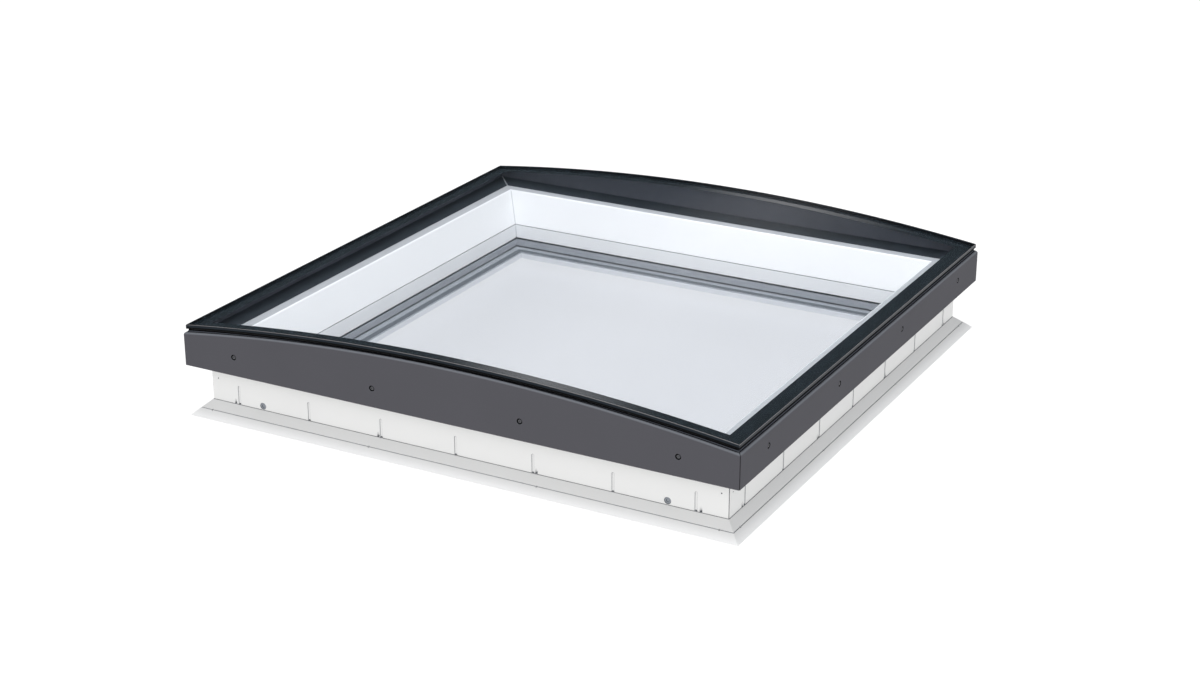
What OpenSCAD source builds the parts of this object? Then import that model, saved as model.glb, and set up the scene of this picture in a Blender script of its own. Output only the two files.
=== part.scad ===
// Fixed skylight for a flat roof: a white kerb frame with a flat glazing unit inside it, and a
// curved outer glass carried on a clad rim above it.
//
// Origin: centre of the footprint, on the roof deck. +X runs along the arched front, +Y to the back,
// +Z up. A profile point is [inset, height, corner radius]. An inset is measured inwards from the
// outer face of the cover, and each profile runs along one side and is mitred at both corners.

/* [Overall] */
// Outer width of the cover, along X
cover_w = 1116; // [900:1:1500]
// Outer depth of the cover, along Y
cover_d = 1116; // [900:1:1500]
// Height of the kerb frame above the deck
base_h = 150; // [120:1:300]

/* [Kerb rails] */
// Inset of the kerb's outer wall face
wall_inset = 33; // [28:0.5:60]
// Skin thickness of the kerb rail profile
skin = 3; // [2:0.1:4]
// Width of the rail's foot on the deck
foot_w = 21; // [15:0.5:24]
// Width of the rebate that carries the inner frame
step_w = 13; // [8:0.5:20]
// Depth of that rebate below the kerb's top
step_drop = 7; // [5:0.5:12]
// Width of the flat strip on top of the kerb
top_w = 22; // [15:0.5:24]
// Inset of the lower edge of the sloped inner wall
nose_inset = 97; // [96:0.5:110]
// Height of the glazing ledge's underside above the deck
ledge_under = 18; // [12:0.5:30]
// Thickness of the glazing ledge
ledge_t = 14; // [12:0.5:25]
// Inset of the ledge's inner edge, where the clear opening starts
light_inset = 131; // [126:0.5:150]
// Height of the web above the glazing bead
web_lift = 10; // [5:0.5:20]

/* [Wall panels] */
// Thickness of the outer wall panels
wall_t = 4; // [3:0.5:6]
// Open joint left at each end of a wall panel
wall_seam = 0.8; // [0:0.1:1.5]
// Number of ribs pressed into each wall panel
rib_count = 7; // [2:1:9]
// Distance from the cover's corner to the last rib
rib_end = 93; // [80:1:200]
// Width of a rib
rib_w = 5.5; // [3:0.5:10]
// Depth of a rib
rib_depth = 1; // [0.5:0.1:2]
// Height of a rib above the flange
rib_h = 36.2; // [20:0.1:38]
// Height of the weep slot at a rib's foot
weep_h = 2.2; // [1:0.1:4]
// Depth of the weep slot
weep_depth = 2.6; // [1.2:0.1:3]
// Radius of the slanted screw pockets at the wall's foot
pocket_r = 2.6; // [1.5:0.1:4]
// Slant of a pocket from the vertical
pocket_slant = 20; // [15:1:35]
// Height of a pocket above the flange
pocket_h = 11.2; // [8:0.1:20]
// Distance from the cover's corner to the outer pockets
pocket_end = 84; // [75:1:120]
// Distance from the middle of a side to the inner pockets
pocket_mid = 161.5; // [100:0.5:250]
// Radius of the small corner hole in each wall panel
corner_hole_r = 1.25; // [0.8:0.05:3]
// Distance from the cover's corner to the corner hole
corner_hole_end = 47; // [44:1:80]
// Height of the corner hole above the deck
corner_hole_z = 72; // [45:1:80]
// Radius of the cable knock-outs in the front wall panel
plug_r = 6.5; // [4:0.1:8]
// Distance from the cover's corner to a knock-out
plug_end = 145.5; // [120:0.5:220]
// Height of a knock-out above the flange
plug_lift = 7.2; // [6.8:0.1:20]
// Depth of a plug's face below the wall panel's face
plug_recess = 1.2; // [0.5:0.1:2]
// Radial gap between a plug and its hole
plug_gap = 0.1; // [0.05:0.05:0.5]

/* [Deck flange] */
// Inset of the flange's outer edge
flange_edge = 1.4; // [0:0.1:10]
// Height of the flange where the wall panel stands on it
flange_h = 28.8; // [24:0.1:35]
// Height of the flange's outer nose
flange_nose = 1.2; // [0.8:0.1:3]
// Wall thickness of the flange strip
flange_skin = 2.5; // [2:0.1:3]
// Width of the bending groove and of the foot groove
groove_w = 1.4; // [0.8:0.1:2]
// Depth of those grooves
groove_depth = 1.4; // [0.5:0.1:1.5]
// Inset of the line of deck screws
deck_inset = 16.5; // [14:0.5:24]
// Radius of the deck screw holes
deck_r = 1.75; // [1.5:0.05:2.5]
// Distance from the cover's corner to the outer deck screws
deck_end = 42; // [30:1:80]
// Distance from the middle of a side to the inner deck screws
deck_mid = 171.5; // [100:0.5:250]

/* [Glazing unit] */
// Thickness of each flat pane
pane_t = 4; // [3:0.5:6]
// Height of the cavity between the panes
cavity = 14; // [10:1:18]
// Inset of the panes' edges
pane_inset = 91; // [90.5:0.5:92]
// Gap between the panes' edges and the rebate wall
pane_gap = 3; // [2:0.5:4]
// Width of the sealant behind the spacer
sealant_w = 6; // [4:0.5:8]
// Width of the spacer bar
spacer_w = 6.5; // [5:0.5:8]
// Height of the glazing bead
bead_h = 28; // [20:0.5:35]
// Inset of the bead's toe on the upper pane
bead_toe = 102; // [100:0.5:108]
// Open shadow joint on top of the bead
bead_joint = 1; // [0.5:0.1:2]
// Thickness of the gasket under the lower pane
gasket_t = 3; // [2:0.5:5]
// Width of that gasket
gasket_w = 13; // [8:0.5:16]
// Length of a setting block
setting_l = 60; // [40:1:100]
// Distance from the cover's corner to a setting block
setting_end = 240; // [180:1:300]

/* [Cover] */
// Thickness of the cover panels
cover_t = 6; // [5.5:0.5:8]
// Height of the cover's lower edge below the kerb's top
cover_drop = 49.3; // [40:0.1:60]
// Height of the cover's straight sides above the kerb's top
cover_lift = 14.5; // [12:0.1:16]
// Rise of the arched front and back above the straight sides
cover_arch = 39.5; // [20:0.5:40]
// Radius along the cover's upper outer edge
cover_round = 2; // [0.5:0.1:3]
// Open joint left at each end of a cover panel
cover_seam = 0.25; // [0:0.05:0.5]

/* [Rim and outer glass] */
// Thickness of the curved outer glass
glass_t = 8; // [6:0.5:10]
// Inset of the glass's edge
glass_inset = 3.75; // [2:0.25:6]
// Height of the glass's underside above the kerb's top, at the straight sides
glass_lift = 21; // [20:0.5:30]
// Rise of the glass across its width
glass_arch = 36.5; // [20:0.5:37]
// Thickness of the seal between the rim and the glass
seal_t = 4; // [3:0.5:5]
// Width of that seal
seal_w = 10; // [6:0.5:10]
// Gap between the seal and the glass, for the bonding film
bond_gap = 0.15; // [0.1:0.05:0.3]
// Width of the rim profile
rim_w = 12.6; // [12:0.1:16]
// Height of the rim's lower edge below the kerb's top
rim_drop = 32; // [26:0.5:36]
// Wall thickness of the rim profile
rim_skin = 2.4; // [2:0.1:3]
// Height of the straight chamber's top above the kerb's top
rim_chamber = 10; // [6:0.5:11]

/* [Inner frame] */
// Height of the inner frame's outer edge above the kerb's top
inner_lift = 7; // [4:0.5:8]
// Height of its inner edge below the kerb's top
inner_drop = 0.4; // [0:0.1:2]
// Thickness of the step under its outer edge
inner_step = 3; // [2:0.5:4]
// Wall thickness of the inner frame profile
inner_skin = 2.2; // [1.5:0.1:2.2]
// Thickness of the weather seal between the rim and the kerb
weather_t = 3; // [2:0.5:5]
// Rise of the weather seal towards the kerb
weather_rise = 2; // [0:0.5:4]

/* [Fixings] */
// Number of cover screws on each side
screw_count = 4; // [2:1:6]
// Distance from the cover's corner to the last screw
screw_end = 111; // [100:1:200]
// Height of the screws below the kerb's top
screw_drop = 13.6; // [12:0.1:16]
// Shank radius of a cover screw
screw_r = 1.9; // [1.5:0.1:2.4]
// Reach of a cover screw past the kerb rail's outer skin
screw_reach = 4; // [3:0.5:12]
// Radius of the screw head
head_r = 3.4; // [3:0.1:4]
// Height of the screw head
head_h = 2; // [1.5:0.1:2.5]
// Thickness of the sealing washer
washer_t = 0.8; // [0.5:0.1:1]
// Radius of the counterbore in the cover
counterbore_r = 5.4; // [5:0.1:7]
// Cover material left under the counterbore
counterbore_web = 2; // [1.5:0.1:3]
// Radial clearance of the screws in their holes
screw_gap = 0.1; // [0.05:0.05:0.3]
// Length of a fixing block along the side
block_l = 24; // [16:1:40]
// Height of a fixing block
block_h = 17; // [14:0.5:18]
// Arm length of a corner cleat in the rim
cleat_arm = 60; // [30:1:70]
// Height of a corner cleat
cleat_h = 30; // [15:1:32]
// Play of the cleats, the insulation and the washers in what holds them
play = 0.2; // [0.1:0.05:0.4]

/* [Hidden] */
// Sides, counted counter-clockwise from the front
FRONT = 0;
RIGHT = 1;
BACK = 2;
LEFT = 3;
SIDES = [[FRONT, "front"], [RIGHT, "right"], [BACK, "back"], [LEFT, "left"]];
SIDE_PARTS = [
    "base_rail", "wall_panel", "flange_strip", "insulation", "glazing_bead", "rim",
    "cover_panel", "inner_frame", "glass_seal", "weather_seal", "cover_screws"
];
SINGLE_PARTS = [
    "curved_glass", "pane_upper", "pane_lower", "spacer_frame", "edge_sealant", "glazing_gasket",
    "setting_blocks", "screw_washers", "fixing_blocks", "corner_cleats", "hole_plugs"
];

eps = 1;
fine = 48;
arch_fn = 256;
mitre_reach = light_inset + 20;

// Kerb: insets of the profile's corners, from outside to inside
rail_face = wall_inset + wall_t;
step_edge = rail_face + step_w;
top_edge = step_edge + top_w;
foot_edge = rail_face + foot_w;
rebate = pane_inset - pane_gap;
gasket_edge = light_inset - 1 - gasket_w;

// Kerb: heights, from the deck up
ledge_top = ledge_under + ledge_t;
lower_top = ledge_top + pane_t;
upper_bottom = lower_top + cavity;
unit_top = upper_bottom + pane_t;
seam_z = unit_top + bead_h;
web_z = seam_z + web_lift;
step_z = base_h - step_drop;
slope_run = (nose_inset - top_edge) / (base_h - seam_z);
slope_skin = skin * sqrt(1 + slope_run * slope_run);

// Cover and rim
cover_z = base_h - cover_drop;
cover_side_z = base_h + cover_lift;
cover_top_z = cover_side_z + cover_arch;
cover_radius = arch_radius(cover_w / 2, cover_arch);
cover_slope = (cover_w / 2) / (cover_radius - cover_arch);
rim_edge = cover_t + rim_w;
rim_z = base_h - rim_drop;
glass_z = base_h + glass_lift;
glass_radius = arch_radius(cover_w / 2 - glass_inset, glass_arch);
glass_centre = glass_z + glass_arch - glass_radius;
seat_radius = glass_radius - seal_t;
seal_in = cover_t + (rim_w - seal_w) / 2 - 0.3;

// Deck flange: its slope runs straight from the nose to the wall's foot
flange_slope = (flange_h - flange_nose) / (wall_inset - flange_edge);

// Fixings
screw_z = base_h - screw_drop;
head_seat = cover_t - counterbore_web;
screw_l = rail_face + skin + screw_reach - head_seat;
tip_l = 4;
drive_r = 1.6;

WHITE = "#eeeeec";
BRIGHT = "#f7f8f9";
ANTHRACITE = "#5b5a61";
SLATE = "#3c4349";
BLACK = "#161719";
STEEL = "#9a9ca0";
FOAM = "#d8d9d6";
GLASS = "#9fb4bd66";

// ---- Functions ----

// Radius of an arc with this half chord and rise
function arch_radius(half, rise) = (half * half + rise * rise) / (2 * rise);

// Length of a side of the cover, and its distance from the centre
function run_of(side) = side % 2 == 0 ? cover_w : cover_d;
function reach_of(side) = (side % 2 == 0 ? cover_d : cover_w) / 2;

// Evenly spaced places along a side, the outermost this far from the corners
function spread(side, end, count) = [
    for (i = [0 : count - 1]) end - run_of(side) / 2 + i * (run_of(side) - 2 * end) / (count - 1)
];

// Two outer places measured from the corners, and two inner ones from the middle
function paired(side, end, mid) = [end - run_of(side) / 2, -mid, mid, run_of(side) / 2 - end];

// Inset of the kerb's sloped inner wall at a height
function slope_inset(z) = top_edge + (base_h - z) * slope_run;

// Height of an arc about the axis of the curved glass, at an inset from the straight sides
function arch_z(radius, inset) =
    glass_centre + sqrt(radius * radius - pow(cover_w / 2 - inset, 2));

// Height of the flange's slope at an inset
function flange_z(inset) = flange_nose + (inset - flange_edge) * flange_slope;

function unit(v) = v / norm(v);
function flat(p) = [p.x, p.y];

// Points of the arc that rounds the corner b between its neighbours a and c
function corner_arc(a, b, c, r, steps = 4) =
    let (
        to_a = unit(a - b),
        to_c = unit(c - b),
        half = acos(to_a * to_c) / 2,
        centre = b + unit(to_a + to_c) * r / sin(half),
        start = b + to_a * r / tan(half) - centre,
        end = b + to_c * r / tan(half) - centre,
        a0 = atan2(start.y, start.x),
        turn = (atan2(end.y, end.x) - a0 + 900) % 360 - 180
    )
    [for (k = [0 : steps]) centre + r * [cos(a0 + turn * k / steps), sin(a0 + turn * k / steps)]];

// An outline with each corner that has a radius rounded by it
function rounded(outline) = [
    for (i = [0 : len(outline) - 1])
        let (
            count = len(outline),
            before = outline[(i + count - 1) % count],
            corner = outline[i],
            after = outline[(i + 1) % count]
        )
        each len(corner) > 2
            ? corner_arc(flat(before), flat(corner), flat(after), corner[2])
            : [flat(corner)]
];

// Upright rectangle of a profile
function block(inset_0, inset_1, z_0, z_1) =
    [[inset_0, z_0], [inset_0, z_1], [inset_1, z_1], [inset_1, z_0]];

// ---- Shared shapes ----

// Stands what is drawn along X, with insets along +Y, on a side of the frame
module place(side) {
    rotate([0, 0, 90 * side])
        translate([0, -reach_of(side), 0])
            children();
}

// A profile run along a side, past both corners
module along(side, outline) {
    rotate([90, 0, 90])
        linear_extrude(run_of(side) + 4 * eps, center = true)
            polygon(rounded(outline));
}

// The part of a side between its two mitres, each drawn back by the seam
module mitre_wedge(side, seam) {
    half = run_of(side) / 2 - seam;
    translate([0, 0, -eps])
        linear_extrude(base_h + 100)
            polygon([
                [-half - eps, -eps],
                [half + eps, -eps],
                [half - mitre_reach, mitre_reach],
                [-half + mitre_reach, mitre_reach]
            ]);
}

// A mitred rail: its outline, its chambers, and its children as cutters
module rail(side, outline, chambers = [], seam = 0) {
    place(side)
        difference() {
            intersection() {
                along(side, outline);
                mitre_wedge(side, seam);
            }
            for (chamber = chambers) along(side, chamber);
            children();
        }
}

// A round cutter through a side, from one inset to another
module drill(x, z, r, inset_0, inset_1) {
    translate([x, inset_0, z])
        rotate([-90, 0, 0])
            cylinder(r = r, h = inset_1 - inset_0, $fn = fine);
}

// Clear holes for the cover screws through a rail
module screw_holes(side, inset_0, inset_1) {
    for (x = spread(side, screw_end, screw_count))
        drill(x, screw_z, screw_r + screw_gap, inset_0 - eps, inset_1 + eps);
}

// A solid cylinder about the axis of the curved glass
module arch_body(radius) {
    translate([0, 0, glass_centre])
        rotate([90, 0, 0])
            cylinder(r = radius, h = cover_d + 4 * eps, center = true, $fn = arch_fn);
}

// A drum about the axis of the cover's arch, with both of its edges rounded
module cover_drum() {
    half = cover_d / 2;
    translate([0, 0, cover_top_z - cover_radius])
        rotate([90, 0, 0])
            rotate_extrude($fn = arch_fn)
                polygon(rounded([
                    [0, -half],
                    [cover_radius, -half, cover_round],
                    [cover_radius, half, cover_round],
                    [0, half]
                ]));
}

// A flat rectangular plate between two heights
module plate(inset, z_0, z_1) {
    translate([inset - cover_w / 2, inset - cover_d / 2, z_0])
        cube([cover_w - 2 * inset, cover_d - 2 * inset, z_1 - z_0]);
}

// A flat rectangular ring between two insets
module ring(inset_0, inset_1, z_0, z_1) {
    difference() {
        plate(inset_0, z_0, z_1);
        plate(inset_1, z_0 - eps, z_1 + eps);
    }
}

// ---- Kerb ----

// Hollow white rail: foot, ledge for the glazing unit, sloped inner wall and flat top
module base_rail(side) {
    ledge_low = ledge_top - gasket_t;
    outline = [
        [rail_face, 0],
        [rail_face, step_z],
        [step_edge, step_z],
        [step_edge, base_h, 1],
        [top_edge, base_h, 4],
        [nose_inset, seam_z, 0.8],
        [rebate, seam_z],
        [rebate, ledge_top],
        [gasket_edge, ledge_top],
        [gasket_edge, ledge_low],
        [light_inset, ledge_low, 1],
        [light_inset, ledge_under, 1],
        [foot_edge, ledge_under],
        [foot_edge, 0]
    ];
    upper = [
        [rail_face + skin, web_z + skin],
        [rail_face + skin, step_z - skin],
        [step_edge + skin, step_z - skin],
        [step_edge + skin, base_h - skin],
        [slope_inset(base_h - skin) - slope_skin, base_h - skin],
        [slope_inset(web_z + skin) - slope_skin, web_z + skin]
    ];
    middle = block(rail_face + skin, rebate - skin, ledge_top + skin, web_z);
    foot = block(rail_face + skin, foot_edge - skin, skin, ledge_top);
    ledge = [
        [foot_edge + skin, ledge_under + skin],
        [foot_edge + skin, ledge_top - skin],
        [gasket_edge - skin, ledge_top - skin],
        [gasket_edge - skin, ledge_low - skin],
        [light_inset - skin, ledge_low - skin],
        [light_inset - skin, ledge_under + skin]
    ];
    color(WHITE)
        rail(side, outline, [upper, middle, foot, ledge])
            screw_holes(side, rail_face, rail_face + skin);
}

// Foam block in the rail's middle chamber
module insulation(side) {
    color(FOAM)
        rail(side, block(
            rail_face + skin + play, rebate - skin - play, ledge_top + skin, web_z - play
        ));
}

// A rib pressed into a wall panel, with the weep slot at its foot
module rib(x) {
    round_z = flange_h + rib_h - rib_w / 2;
    translate([x - rib_w / 2, wall_inset - eps, flange_h - eps])
        cube([rib_w, eps + rib_depth, round_z - flange_h + eps]);
    drill(x, round_z, rib_w / 2, wall_inset - eps, wall_inset + rib_depth);
    translate([x - rib_w / 2 + 1, wall_inset - eps, flange_h - eps])
        cube([rib_w - 2, eps + weep_depth, weep_h + eps]);
}

// A slanted screw pocket that runs down into the wall's foot
module pocket(x) {
    centre_z = flange_h + pocket_h - pocket_r / sin(pocket_slant);
    translate([x, wall_inset, centre_z])
        rotate([pocket_slant, 0, 0])
            cylinder(r = pocket_r, h = 60, center = true, $fn = fine);
}

// Outer wall panel, standing on the flange
module wall_panel(side) {
    color(WHITE)
        rail(side, block(wall_inset, rail_face, flange_h, step_z), seam = wall_seam) {
            for (x = spread(side, rib_end, rib_count)) rib(x);
            for (x = paired(side, pocket_end, pocket_mid)) pocket(x);
            for (x = spread(side, corner_hole_end, 2))
                drill(x, corner_hole_z, corner_hole_r, wall_inset - eps, rail_face + eps);
            screw_holes(side, wall_inset, rail_face);
            if (side == FRONT)
                for (x = spread(side, plug_end, 2))
                    drill(x, flange_h + plug_lift, plug_r, wall_inset - eps, rail_face + eps);
        }
}

// Hollow wedge around the kerb's foot, with a bending groove and the deck screw holes
module flange_strip(side) {
    groove_z = flange_z(deck_inset);
    half = groove_w / 2;
    outline = [
        [flange_edge, 0],
        [flange_edge, flange_nose],
        [deck_inset - half, flange_z(deck_inset - half)],
        [deck_inset + groove_depth / 2, groove_z - groove_depth],
        [deck_inset + half, flange_z(deck_inset + half)],
        [wall_inset - half, flange_z(wall_inset - half)],
        [wall_inset + half, flange_h - groove_depth - half],
        [wall_inset + 2 * half, flange_h],
        [rail_face, flange_h],
        [rail_face, 0]
    ];
    drop = flange_skin * sqrt(1 + flange_slope * flange_slope) + groove_depth / 2;
    roof = flange_h - groove_depth - groove_w / 2 - flange_skin;
    toe = flange_edge + (flange_skin + drop - flange_nose) / flange_slope;
    chamber = [
        [toe, flange_skin],
        [flange_edge + (roof + drop - flange_nose) / flange_slope, roof],
        [rail_face - flange_skin, roof],
        [rail_face - flange_skin, flange_skin]
    ];
    color(WHITE)
        rail(side, outline, [chamber])
            for (x = paired(side, deck_end, deck_mid))
                translate([x, deck_inset, -eps])
                    cylinder(r = deck_r, h = flange_h, $fn = fine);
}

// Grey plugs in the front wall panel's knock-outs
module hole_plugs() {
    color(STEEL)
        place(FRONT)
            for (x = spread(FRONT, plug_end, 2))
                difference() {
                    drill(
                        x, flange_h + plug_lift, plug_r - plug_gap,
                        wall_inset + plug_recess, rail_face
                    );
                    drill(
                        x, flange_h + plug_lift, plug_r / 2,
                        wall_inset - eps, wall_inset + plug_recess + 0.8
                    );
                }
}

// ---- Flat glazing unit ----

module pane_upper() {
    color(GLASS) plate(pane_inset, upper_bottom, unit_top);
}

module pane_lower() {
    color(GLASS) plate(pane_inset, ledge_top, lower_top);
}

module edge_sealant() {
    color(BLACK) ring(pane_inset, pane_inset + sealant_w, lower_top, upper_bottom);
}

module spacer_frame() {
    inner = pane_inset + sealant_w;
    color(SLATE) ring(inner, inner + spacer_w, lower_top, upper_bottom);
}

module glazing_gasket() {
    color(SLATE) ring(gasket_edge, gasket_edge + gasket_w, ledge_top - gasket_t, ledge_top);
}

// Two blocks a side that centre the glazing unit in its rebate
module setting_blocks() {
    color(BLACK)
        for (s = SIDES) place(s[0])
            for (x = spread(s[0], setting_end, 2))
                translate([x - setting_l / 2, rebate, ledge_top])
                    cube([setting_l, pane_gap, unit_top - ledge_top - play]);
}

// Clip-in bead over the edge of the upper pane
module glazing_bead(side) {
    tongue = rebate + 5;
    top = seam_z - bead_joint;
    face_run = (bead_toe - nose_inset) / bead_h;
    wall = 2.3;
    outline = [
        [rebate, unit_top],
        [rebate, seam_z],
        [tongue, seam_z],
        [tongue, top],
        [nose_inset + 0.2, top, 0.8],
        [bead_toe, unit_top + 0.8],
        [bead_toe, unit_top]
    ];
    chamber = [
        [rebate + wall, unit_top + wall],
        [rebate + wall, top - wall],
        [nose_inset + face_run * (bead_joint + wall) - wall, top - wall],
        [bead_toe - face_run * wall - wall, unit_top + wall]
    ];
    color(BRIGHT) rail(side, outline, [chamber]);
}

// ---- Rim, cover and outer glass ----

// Dark hollow rim that carries the curved glass; its top follows the glass
module rim(side) {
    chamber = block(
        cover_t + rim_skin, rim_edge - rim_skin, rim_z + rim_skin, base_h + rim_chamber
    );
    color(SLATE) {
        if (side % 2 == 0)
            difference() {
                intersection() {
                    rail(side, block(cover_t, rim_edge, rim_z, glass_z + glass_arch), [chamber])
                        screw_holes(side, cover_t, rim_edge);
                    arch_body(seat_radius);
                }
                arched_chamber(side);
            }
        else
            rail(side, [
                [cover_t, rim_z],
                [cover_t, arch_z(seat_radius, cover_t)],
                [rim_edge, arch_z(seat_radius, rim_edge)],
                [rim_edge, rim_z]
            ], [chamber])
                screw_holes(side, cover_t, rim_edge);
    }
}

// Upper chamber of an arched rim, under its curved top
module arched_chamber(side) {
    floor_z = base_h + rim_chamber + rim_skin;
    intersection() {
        place(side)
            along(side, block(
                cover_t + rim_skin, rim_edge - rim_skin, floor_z, glass_z + glass_arch
            ));
        arch_body(seat_radius - rim_skin);
    }
}

// Counterbored holes for the cover screws
module cover_holes(side) {
    for (x = spread(side, screw_end, screw_count)) {
        drill(x, screw_z, counterbore_r, -eps, head_seat);
        drill(x, screw_z, screw_r + screw_gap, 0, cover_t + eps);
    }
}

// Anthracite cover panel: arched on the front and back, straight on the sides
module cover_panel(side) {
    color(ANTHRACITE) {
        if (side % 2 == 0)
            intersection() {
                rail(side, block(0, cover_t, cover_z, cover_top_z + eps), seam = cover_seam)
                    cover_holes(side);
                cover_drum();
            }
        else
            rail(side, [
                [0, cover_z],
                [0, cover_side_z, cover_round],
                [cover_t, cover_side_z + cover_t * cover_slope],
                [cover_t, cover_z]
            ], seam = cover_seam)
                cover_holes(side);
    }
}

// Black seal between the rim and the curved glass
module glass_seal(side) {
    inner = seal_in + seal_w;
    top_radius = glass_radius - bond_gap;
    color(BLACK) {
        if (side % 2 == 0)
            intersection() {
                rail(side, block(seal_in, inner, rim_z, glass_z + glass_arch + eps));
                difference() {
                    arch_body(top_radius);
                    arch_body(seat_radius);
                }
            }
        else
            rail(side, [
                [seal_in, arch_z(seat_radius, seal_in)],
                [seal_in, arch_z(top_radius, seal_in)],
                [inner, arch_z(top_radius, inner)],
                [inner, arch_z(seat_radius, inner)]
            ]);
    }
}

// Outer glass, bent to one radius across its width
module curved_glass() {
    color(GLASS)
        intersection() {
            plate(glass_inset, base_h, glass_z + glass_arch + 2 * glass_t);
            difference() {
                arch_body(glass_radius + glass_t);
                arch_body(glass_radius);
            }
        }
}

// Dark sloping frame between the rim and the kerb's top strip
module inner_frame(side) {
    top_z = base_h + inner_lift;
    low_z = base_h - inner_drop;
    fall = (top_z - low_z) / (step_edge - rim_edge);
    under_z = base_h - step_drop + inner_step;
    chamber_in = rim_edge + inner_skin;
    chamber_out = step_edge - inner_skin;
    outline = [
        [rim_edge, under_z],
        [rim_edge, top_z],
        [step_edge, low_z, 1],
        [step_edge, step_z],
        [wall_inset, step_z],
        [wall_inset, under_z]
    ];
    chamber = [
        [chamber_in, under_z + inner_skin],
        [chamber_in, top_z - fall * inner_skin - inner_skin],
        [chamber_out, low_z + fall * inner_skin - inner_skin],
        [chamber_out, step_z + inner_skin],
        [wall_inset + inner_skin, step_z + inner_skin],
        [wall_inset + inner_skin, under_z + inner_skin]
    ];
    color(SLATE) rail(side, outline, [chamber]);
}

// Lip seal between the rim and the kerb's wall
module weather_seal(side) {
    low = rim_z + 1;
    color(BLACK)
        rail(side, [
            [rim_edge, low],
            [rim_edge, low + weather_t],
            [wall_inset, low + weather_t + weather_rise],
            [wall_inset, low + weather_rise]
        ]);
}

// ---- Fixings ----

// One side's cover screws, each with a pan head and a hexagonal drive
module cover_screws(side) {
    head_top = head_seat - washer_t;
    color(STEEL)
        place(side)
            for (x = spread(side, screw_end, screw_count))
                difference() {
                    union() {
                        drill(x, screw_z, head_r, head_top - head_h, head_top);
                        drill(x, screw_z, screw_r, head_top - eps, head_seat + screw_l - tip_l);
                        translate([x, head_seat + screw_l - tip_l, screw_z])
                            rotate([-90, 0, 0])
                                cylinder(r1 = screw_r, r2 = 0.3, h = tip_l, $fn = fine);
                    }
                    translate([x, head_top - head_h - eps, screw_z])
                        rotate([-90, 0, 0])
                            cylinder(r = drive_r, h = eps + head_h * 0.6, $fn = 6);
                }
}

// Sealing washers in the cover's counterbores
module screw_washers() {
    color(BLACK)
        for (s = SIDES) place(s[0])
            for (x = spread(s[0], screw_end, screw_count))
                difference() {
                    drill(x, screw_z, counterbore_r - play, head_seat - washer_t, head_seat);
                    drill(x, screw_z, screw_r + screw_gap, 0, cover_t);
                }
}

// Blocks between the rim and the kerb's wall, one behind each cover screw
module fixing_blocks() {
    color(STEEL)
        for (s = SIDES) place(s[0])
            for (x = spread(s[0], screw_end, screw_count))
                difference() {
                    translate([x - block_l / 2, rim_edge, step_z - block_h])
                        cube([block_l, wall_inset - rim_edge, block_h]);
                    drill(x, screw_z, screw_r + screw_gap, rim_edge - eps, wall_inset + eps);
                }
}

// Angles that join the rim's chambers at its four corners
module corner_cleats() {
    outer = cover_t + rim_skin + play;
    inner = rim_edge - rim_skin - play;
    color(STEEL)
        for (s = SIDES) place(s[0]) {
            start = -run_of(s[0]) / 2;
            translate([0, 0, rim_z + rim_skin])
                linear_extrude(cleat_h)
                    polygon([
                        [start + outer, outer],
                        [start + outer + cleat_arm, outer],
                        [start + outer + cleat_arm, inner],
                        [start + inner, inner],
                        [start + inner, outer + cleat_arm],
                        [start + outer, outer + cleat_arm]
                    ]);
        }
}

// ---- Nodes ----

for (s = SIDES) {
    base_rail(s[0]);
    wall_panel(s[0]);
    flange_strip(s[0]);
    insulation(s[0]);
    glazing_bead(s[0]);
    rim(s[0]);
    cover_panel(s[0]);
    inner_frame(s[0]);
    glass_seal(s[0]);
    weather_seal(s[0]);
    cover_screws(s[0]);
}
curved_glass();
pane_upper();
pane_lower();
spacer_frame();
edge_sealant();
glazing_gasket();
setting_blocks();
screw_washers();
fixing_blocks();
corner_cleats();
hole_plugs();
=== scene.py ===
"""Looks of a fixed roof skylight, dressed around its packed construction model.

Everything is in metres in the model's own frame: origin on the roof deck at the centre of the
footprint, +X along the arched front, +Y to the back, +Z up. An inset is measured inwards from the
outer face of the cover. Places and outer sizes are read from the model's nodes. What a node's box
doesn't show, such as the size of a rounding or a hole, is a field of its class.
"""

import logging
import math
from abc import ABC, abstractmethod
from collections.abc import Callable, Iterable, Sequence
from dataclasses import dataclass, field
from enum import Enum, IntEnum

import bmesh
import bpy
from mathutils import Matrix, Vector


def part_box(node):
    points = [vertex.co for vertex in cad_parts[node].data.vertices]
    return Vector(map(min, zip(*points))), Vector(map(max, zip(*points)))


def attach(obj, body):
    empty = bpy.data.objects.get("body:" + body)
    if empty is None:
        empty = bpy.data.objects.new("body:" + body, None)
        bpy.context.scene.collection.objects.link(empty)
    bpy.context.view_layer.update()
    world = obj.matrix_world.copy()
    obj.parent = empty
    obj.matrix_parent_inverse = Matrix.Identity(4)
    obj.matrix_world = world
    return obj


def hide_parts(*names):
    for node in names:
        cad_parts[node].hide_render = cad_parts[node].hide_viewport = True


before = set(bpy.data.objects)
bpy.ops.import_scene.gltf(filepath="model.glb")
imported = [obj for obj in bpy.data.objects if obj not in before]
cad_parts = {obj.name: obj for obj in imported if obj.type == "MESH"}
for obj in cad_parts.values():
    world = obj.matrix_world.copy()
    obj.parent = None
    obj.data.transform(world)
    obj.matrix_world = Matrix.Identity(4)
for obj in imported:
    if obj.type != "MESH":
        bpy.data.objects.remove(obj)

LOG = logging.getLogger("skylight")
BODY = "root"
MM = 0.001
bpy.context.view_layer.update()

Colour = tuple[float, float, float]
Axis = tuple[float, float, float]
Range = tuple[float, float]
Heading = tuple[float, float]
Row = Sequence[int]
Section = Sequence[tuple[float, float]]
HeightRule = Callable[[float], float]
Outline = Sequence[tuple[float, HeightRule]]
Inputs = dict[str | int, object]
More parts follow.
